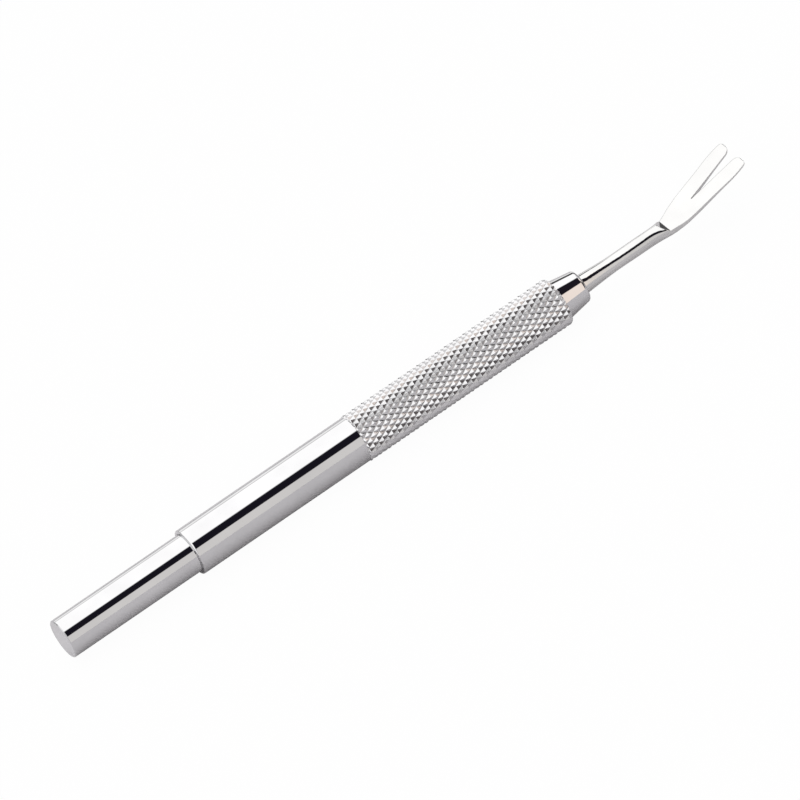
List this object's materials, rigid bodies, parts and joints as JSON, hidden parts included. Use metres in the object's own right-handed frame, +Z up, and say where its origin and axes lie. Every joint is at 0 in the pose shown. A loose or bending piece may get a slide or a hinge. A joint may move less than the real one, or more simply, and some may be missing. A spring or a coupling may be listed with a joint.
{
  "type": "divot repair tool",
  "caption": "Pen-shaped lifting tool with a bent, slotted fork on a round shank, a tapered nose collar, a knurled grip and a tail that slides into the smooth barrel.",
  "frame": {"origin": "middle of the bounding box's base: half way along the tool with the tail drawn out, below the handle's axis, on the plane the grip lies on", "axes": "+X along the handle from the tail to the fork, +Y across the fork's two tines, +Z up, the side the blade bends towards"},
  "size_m": [0.1482, 0.0094, 0.0101],
  "materials": {
    "polished_fork": "polished",
    "chrome_collar": "polished",
    "knurled_chrome": "diamond knurled, bright",
    "chrome_tube": "polished",
    "chrome_tail": "polished",
    "steel_hardware": "zinc plated",
    "brass_turned": "turned",
    "acetal": "natural white"
  },
  "bodies": {
    "handle": {"grip": "knurled_chrome", "barrel": "chrome_tube", "nose_collar": "chrome_collar", "fork": "polished_fork", "fork_lock_washer": "steel_hardware", "fork_nut": "steel_hardware"},
    "slider": {"friction_ring": "acetal"},
    "tail": {"tail_tube": "chrome_tail", "slide_head": "brass_turned", "head_washer": "steel_hardware", "head_screw": "steel_hardware"}
  },
  "joints": [
    {"name": "tail_slide", "type": "slide", "parent": "handle", "child": "slider", "axis": [1, 0, 0], "range_m": [0, 0.0205]},
    {"name": "tail_spin", "type": "hinge", "parent": "slider", "child": "tail", "pos_m": [-0.0366, 0, 0.00466], "axis": [1, 0, 0], "continuous": true}
  ]
}
